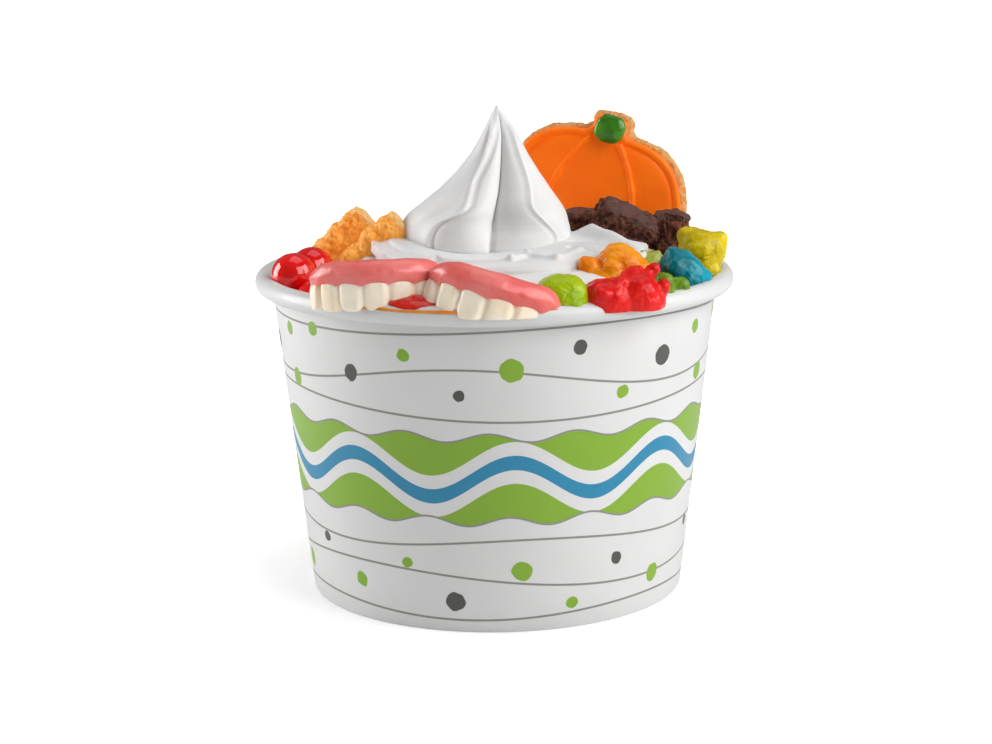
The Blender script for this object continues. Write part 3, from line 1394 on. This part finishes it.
@dataclass
class SweetDentures:
    """Two denture-shaped sweets: a pink gum over a row of cream teeth."""

    cup: PaperCup
    half_width: float = 10.5
    depth: float = 7.4
    spread: float = 86.0
    droop: float = 1.5
    teeth: int = 7
    row: float = 0.95  # share of the arch that the teeth fill
    # name, place, up direction, direction that the front teeth face, size
    pairs: tuple[tuple[str, Triple, Triple, Triple, float], ...] = (
        ("left", (-22.7, -34.1, 71.8), (-0.03, 0.04, 1.00), (0.00, -0.99, 0.0), 1.03),
        ("right", (1.2, -39.6, 69.2), (0.31, 0.06, 1.00), (0.02, -1.00, 0.0), 1.12),
    )
    # share round the section, outward, upward
    gum_section: Rows = (
        (0.00, 2.75, -0.5),
        (0.12, 3.10, 0.7),
        (0.24, 2.90, 2.1),
        (0.36, 1.90, 3.3),
        (0.48, 0.20, 3.7),
        (0.60, -1.60, 2.9),
        (0.72, -2.40, 1.2),
        (0.84, -2.00, -0.1),
        (0.94, 1.80, -0.3),
        (1.00, 2.75, -0.5),
    )
    gum: Finish = Gelatine(
        "pink_gum", (0.88, 0.20, 0.18), roughness=0.34, coat=0.25, glow=0.12,
        depth=(1.6, 0.9, 0.8), shine=0.5, deep=(0.84, 0.13, 0.115), ripple=0.10,
    )
    enamel: Finish = Gelatine(
        "cream_teeth", (0.98, 0.88, 0.72), roughness=0.26, coat=0.4, glow=0.15,
        depth=(1.5, 1.0, 0.7), shine=0.35, deep=(0.96, 0.79, 0.58), ripple=0.08, light=0.05,
    )

    def arch(self, way: float) -> tuple[Vector, Vector]:
        """Returns the arch's middle and its outward direction for a way from -1 to 1."""
        angle = math.radians(self.spread * way)
        middle = Vector((self.half_width * math.sin(angle), -self.depth * math.cos(angle), 0.0))
        middle.z = -self.droop * abs(way) ** 2.5
        outward = Vector((math.sin(angle) / self.half_width, -math.cos(angle) / self.depth, 0.0))
        return middle, outward.normalized()

    def build_gum(self) -> Shape:
        """Models the gum, scalloped over each tooth and thinner at its ends."""
        rows = 150

        def place(share: float, far: float) -> Vector:
            """Returns a point on the gum."""
            way = 2 * far - 1
            middle, outward = self.arch(way * 1.03)
            out, up = along(self.gum_section, share)
            phase = (way / self.row + 1) / 2 * self.teeth
            scallop = abs(math.sin(math.pi * phase)) ** 0.8
            lower = swell(min(share, 1 - share), 0.0, 0.09)
            up += lower * (0.55 * scallop - 0.45)
            out += 0.22 * scallop * swell(share, 0.17, 0.05)
            size = 1 - 0.30 * abs(way) ** 5
            end = math.sqrt(max(1 - (max(abs(way) - 0.93, 0.0) / 0.07) ** 2, 0.0))
            tall = (1 - 0.38 * way**4) * end
            return middle + outward * out * size * end + Vector((0, 0, (up - 1.0) * tall + 1.0))

        bm = wrapped(place, 44, rows)
        roughen(bm, 0.16, 4.0, 5.0, octaves=2)
        return bm

    def build_teeth(self) -> Shape:
        """Models the teeth one by one, each a rounded peg that narrows towards its edge."""
        pegs = []
        for i in range(self.teeth):
            way = self.row * (2 * (i + 0.5) / self.teeth - 1)
            step = self.row / self.teeth
            near, far = self.arch(way - step)[0], self.arch(way + step)[0]
            middle, outward = self.arch(way)
            wide = (far - near).length / 2 * 1.16
            tall = 3.3 * (1 - 0.24 * abs(way) ** 3)
            bm = ball((wide, 2.5, tall), 40, 30, square=0.50)
            for vert in bm.verts:
                low = max(-vert.co.z / (tall * MM), 0.0)
                vert.co.x *= 1 - 0.10 * low**2
                vert.co.y += (0.35 * low - 0.5 * low**2) * MM * (1 if vert.co.y < 0 else -1)
            across = Vector((-outward.y, outward.x, 0.0))
            turn = Matrix((across, -outward, Vector((0, 0, 1)))).transposed().to_4x4()
            spot = offset(middle + outward * 0.35 + Vector((0, 0, -2.6)))
            pegs.append(moved(bm, spot @ turn))
        bm = fused(joined(pegs), 0.24, 2)
        roughen(bm, 0.10, 2.5, 8.0, octaves=2)
        return bm

    def dress(self) -> None:
        """Places both dentures on the rim."""
        for name, place, up, face, size in self.pairs:
            spot = facing(place, up, face, size)
            made = (("gum", self.build_gum(), self.gum), ("teeth", self.build_teeth(), self.enamel))
            for part, bm, finish in made:
                node = f"denture_{name}_{part}"
                rested = self.cup.nestle(moved(bm, spot))
                placed(f"{node}_sweet", rested, finish, part, [node])


@dataclass
class OtherSweets:
    """The juice pearls, brownie chunks, toffee fingers, red jelly and sauce."""

    cup: PaperCup
    # name, place, radius
    pearls: tuple[tuple[str, Triple, float], ...] = (
        ("front", (-41.0, -12.5, 68.2), 4.6),
        ("back", (-38.0, -2.6, 68.0), 4.5),
        ("low", (-36.2, -19.8, 63.8), 4.4),
    )
    # name, size, place, direction of its Z, direction of its front, seed, roughness
    brownies: tuple[tuple[str, Triple, Triple, Triple, Triple, int, float], ...] = (
        ("top", (12.5, 11, 10.5), (27.0, 8.6, 73.6), (0.50, -0.24, 1.0), (0.1, -1, 0), 5, 0.9),
        ("left", (11, 6, 10), (17.6, 17.4, 72.0), (0.0, 0.0, 1.0), (0.0, -1, 0), 7, 1.0),
        ("right", (7.5, 8, 15), (37.7, 15.6, 69.4), (0.1, 0, 1), (-0.2, -1, 0), 12, 1.0),
    )
    toffees: tuple[tuple[str, Triple, Triple, Triple, Triple, int, float], ...] = (
        ("back", (6.4, 6.2, 18), (-33.0, 6.6, 71.6), (0.72, 0.1, 0.7), (0.1, -1, 0), 21, 0.45),
        ("front", (6.4, 6.2, 18), (-25.5, -2.2, 71.8), (0.74, 0.1, 0.66), (0, -1, 0), 34, 0.45),
    )
    # radii, place, direction of its Z, direction of its front
    jelly: tuple[Triple, Triple, Triple, Triple] = (
        (6.2, 3.2, 1.8), (-14.9, -43.9, 67.0), (0.05, -0.3, 1.0), (-0.38, -1, 0.0),
    )
    # angle, how far out round the rolled rim, thickness of the sauce
    trace: Rows = (
        (-44.0, 46.0, 0.12),
        (-38.0, 39.0, 0.28),
        (-33.0, 34.0, 0.42),
        (-28.0, 36.0, 0.34),
        (-20.0, 30.0, 0.26),
        (-12.0, 34.0, 0.36),
        (-5.0, 29.0, 0.30),
        (3.0, 32.0, 0.36),
        (9.0, 36.0, 0.24),
        (14.0, 42.0, 0.10),
    )
    pearl_skin: Finish = Gelatine(
        "red_pearl", (0.88, 0.008, 0.008), roughness=0.06, coat=0.6, deep=(0.72, 0.003, 0.003),
        ripple=0.0, shine=0.4,
    )
    jelly_skin: Finish = Gelatine(
        "red_jelly", (0.80, 0.03, 0.02), roughness=0.16, coat=0.4, deep=(0.62, 0.006, 0.006),
        ripple=0.12, shine=0.3,
    )
    cake: Finish = Crumb(
        "brownie_crumb", (0.20, 0.068, 0.038), roughness=0.8, deep=(0.035, 0.013, 0.009),
        grain=800.0, pores=0.5, lift=0.35, shine=0.2, skin=(0.110, 0.060, 0.050),
    )
    crust: Finish = Crumb(
        "toffee_crust", (1.0, 0.46, 0.075), roughness=0.45, coat=0.15, deep=(0.92, 0.32, 0.03),
        grain=700.0, pores=0.40, lift=0.3, shine=0.3, light=0.13, skin=(0.84, 0.56, 0.24),
    )
    sauce: Finish = Gelatine(
        "orange_sauce", (0.85, 0.30, 0.03), roughness=0.2, coat=0.4, deep=(0.75, 0.20, 0.01),
        ripple=0.08, shine=0.3,
    )

    def block(self, size: Triple, seed: int, rough: float, cuts: int) -> Shape:
        """Breaks a rough block of food.

        Args:
            size: Its width, depth and height.
            seed: Picks its shape.
            rough: How far its faces are broken up.
            cuts: How finely its sides are divided.

        Returns:
            The block about the origin.
        """
        bm = bmesh.new()
        bmesh.ops.create_cube(bm, size=2.0)
        bmesh.ops.subdivide_edges(bm, edges=bm.edges, cuts=cuts, use_grid_fill=True)
        noise.seed_set(seed)
        for vert in bm.verts:
            worn = vert.co * (1 - 0.08 * (vert.co.length_squared - 1))
            point = Vector([a * b / 2 for a, b in zip(worn, size)])
            shove = noise.noise_vector(point * 0.35 + Vector((seed, 0, 0)))
            vert.co = (point + shove * rough) * MM
        return bm

    def mark_skin(self, bm: Shape, height: float, both: bool) -> None:
        """Marks the skin on the block's top, and on its foot too if both ends have it."""
        layer = bm.verts.layers.float.new(SKIN)
        for vert in bm.verts:
            level = vert.co.z / (height / 2 * MM)
            vert[layer] = eased(0.72, 0.90, abs(level) if both else level)

    def crumble(self, bm: Shape, depth: float, grain: float, seed: float) -> None:
        """Breaks up the crumb, and leaves its skin nearly smooth."""
        layer = bm.verts.layers.float[SKIN]

        def move(vert: Vert) -> Vector:
            """Returns a vertex's move in metres."""
            point = vert.co / (grain * MM) + Vector((seed, 0.0, -seed))
            lump = noise.fractal(point, 0.8, FINER, 4)
            pit = min(noise.voronoi(point * 1.6)[0][0], 0.5) - 0.35
            return vert.normal * (lump + 1.3 * pit) * depth * (1 - 0.75 * vert[layer]) * MM

        pushed(bm, move)

    def dress_chunks(self) -> None:
        """Places the brownies and the toffees."""
        for kind, finish, depth, grain, chunks in (
            ("brownie", self.cake, 0.85, 2.4, self.brownies),
            ("toffee", self.crust, 0.60, 1.9, self.toffees),
        ):
            for name, size, place, up, face, seed, rough in chunks:
                bm = self.block(size, seed, rough, 56)
                self.mark_skin(bm, size[2], kind == "toffee")
                self.crumble(bm, depth, grain, seed)
                bm = moved(bm, facing(place, up, face))
                placed(f"{kind}_{name}_piece", bm, finish, kind, [f"{kind}_{name}"])

    def dress_red(self) -> None:
        """Places the pearls, the jelly and the trace of sauce."""
        for name, place, radius in self.pearls:
            bm = moved(ball((radius, radius, radius * 0.98), 72, 48), offset(place))
            made, nodes = self.cup.nestle(bm), [f"pearl_{name}"]
            placed(f"juice_pearl_{name}", made, self.pearl_skin, "red_pearl", nodes)
        radii, place, up, face = self.jelly
        bm = ball(radii, 64, 40, square=0.85)
        roughen(bm, 0.3, 3.5, 2.0, octaves=2)
        made = self.cup.nestle(moved(bm, facing(place, up, face)))
        placed("jelly_splash", made, self.jelly_skin, "red_jelly", ["red_jelly"])
        placed("sauce_trace", self.build_sauce(), self.sauce, "red_jelly")

    def build_sauce(self) -> Shape:
        """Runs a thin trace of sauce along the rolled rim, under the dentures."""
        out, up = self.cup.bead_centre
        first, last = self.trace[0][0], self.trace[-1][0]
        path, sizes, steps = [], [], 90
        for i in range(steps + 1):
            angle = first + (last - first) * i / steps
            lean, size = along(self.trace, angle)
            tip, bead = math.radians(lean), self.cup.bead
            path.append(around(angle, out + bead * math.cos(tip), up + bead * math.sin(tip)))
            sizes.append(size)
        return tube(path, lambda share: sizes[int(round(share * steps))], 12)

    def dress(self) -> None:
        """Places everything."""
        self.dress_chunks()
        self.dress_red()


# ---------------------------------------------------------------- studio


@dataclass
class Studio:
    """The pale floor, the soft lights and the camera."""

    lens: float = 85.0
    aim: Triple = (0.15, 0.0, 44.88)
    distance: float = 495.93
    elevation: float = 11.814
    roll: float = -0.581
    sky: float = 0.13
    # name, place, size, power
    lamps: tuple[tuple[str, Triple, tuple[float, float], float], ...] = (
        ("right_softbox", (640, -120, 420), (380, 520), 3.2),
        ("front_softbox", (420, -480, 460), (380, 520), 2.4),
        ("left_softbox", (-650, 140, 220), (380, 520), 4.3),
        ("top_softbox", (60, 120, 760), (520, 520), 0.9),
    )
    # the floor's half width, and its glow at two distances from its middle, in metres
    reach: float = 30.0
    near: tuple[float, float] = (0.032, 0.22)
    far: tuple[float, float] = (0.12, 1.1)

    def floor(self) -> None:
        """Lays the floor."""
        bm = bmesh.new()
        bmesh.ops.create_grid(bm, x_segments=1, y_segments=1, size=self.reach)
        floor = linked("floor", bm)
        pale, wiring, shader = new_material("pale_floor")
        spot = wiring.add("TexCoord").outputs["Object"]
        away = wiring.add("VectorMath", {0: spot}, operation="LENGTH").outputs["Value"]
        (near, near_glow), (far, far_glow) = self.near, self.far
        limits = {"From Min": near, "From Max": far, "To Min": near_glow, "To Max": far_glow}
        glow = wiring.add("MapRange", {"Value": away, **limits}, clamp=True).outputs["Result"]
        seen = wiring.add("LightPath").outputs["Is Camera Ray"]
        surface = {
            "Base Color": (0.85, 0.85, 0.85),
            "Roughness": 0.8,
            "Emission Color": (1.0, 1.0, 1.0),
            "Emission Strength": wiring.times(seen, glow),
        }
        wiring.fill(shader, surface)
        floor.data.materials.append(pale)

    def light(self) -> None:
        """Hangs the softboxes in a pale room."""
        for name, place, (wide, tall), power in self.lamps:
            data = bpy.data.lights.new(name, "AREA")
            data.shape = "RECTANGLE"
            data.size, data.size_y = wide * MM, tall * MM
            data.energy = power
            lamp = bpy.data.objects.new(name, data)
            lamp.location = Vector(place) * MM
            aim = Vector((0, 0, 60)) * MM - lamp.location
            lamp.rotation_euler = aim.to_track_quat("-Z", "Y").to_euler()
            bpy.context.scene.collection.objects.link(lamp)
        world = bpy.data.worlds.new("pale_room")
        bpy.context.scene.world = world
        world.use_nodes = True
        room = world.node_tree.nodes["Background"]
        room.inputs["Color"].default_value = (1.0, 1.0, 1.0, 1.0)
        room.inputs["Strength"].default_value = self.sky

    def camera(self) -> None:
        """Sets up the camera in front of the cup, a little above the rim."""
        data = bpy.data.cameras.new("camera")
        data.lens, data.sensor_width = self.lens, 36.0
        data.clip_start, data.clip_end = 0.01, 100.0
        camera = bpy.data.objects.new("camera", data)
        rise = math.radians(self.elevation)
        back = Vector((0, -math.cos(rise), math.sin(rise))) * self.distance
        tilt = Matrix.Rotation(math.pi / 2 - rise, 4, "X") @ turned(self.roll, "Z")
        camera.matrix_world = offset(Vector(self.aim) + back) @ tilt
        bpy.context.scene.collection.objects.link(camera)
        bpy.context.scene.camera = camera
        bpy.context.scene.view_settings.view_transform = "Standard"

    def dress(self) -> None:
        """Sets up the whole studio."""
        self.floor()
        self.light()
        self.camera()


def main() -> None:
    """Builds each sub-assembly in order, then the studio."""
    logging.basicConfig(level=logging.INFO, format="%(name)s %(message)s")
    cup = PaperCup()
    sweets = (PumpkinBiscuit(), GummyBears(cup), SweetDentures(cup), OtherSweets(cup))
    for assembly in (cup, FrozenYogurt(cup), *sweets):
        LOG.info("building %s", type(assembly).__name__)
        assembly.dress()
    Studio().dress()


if __name__ == "__main__":
    main()
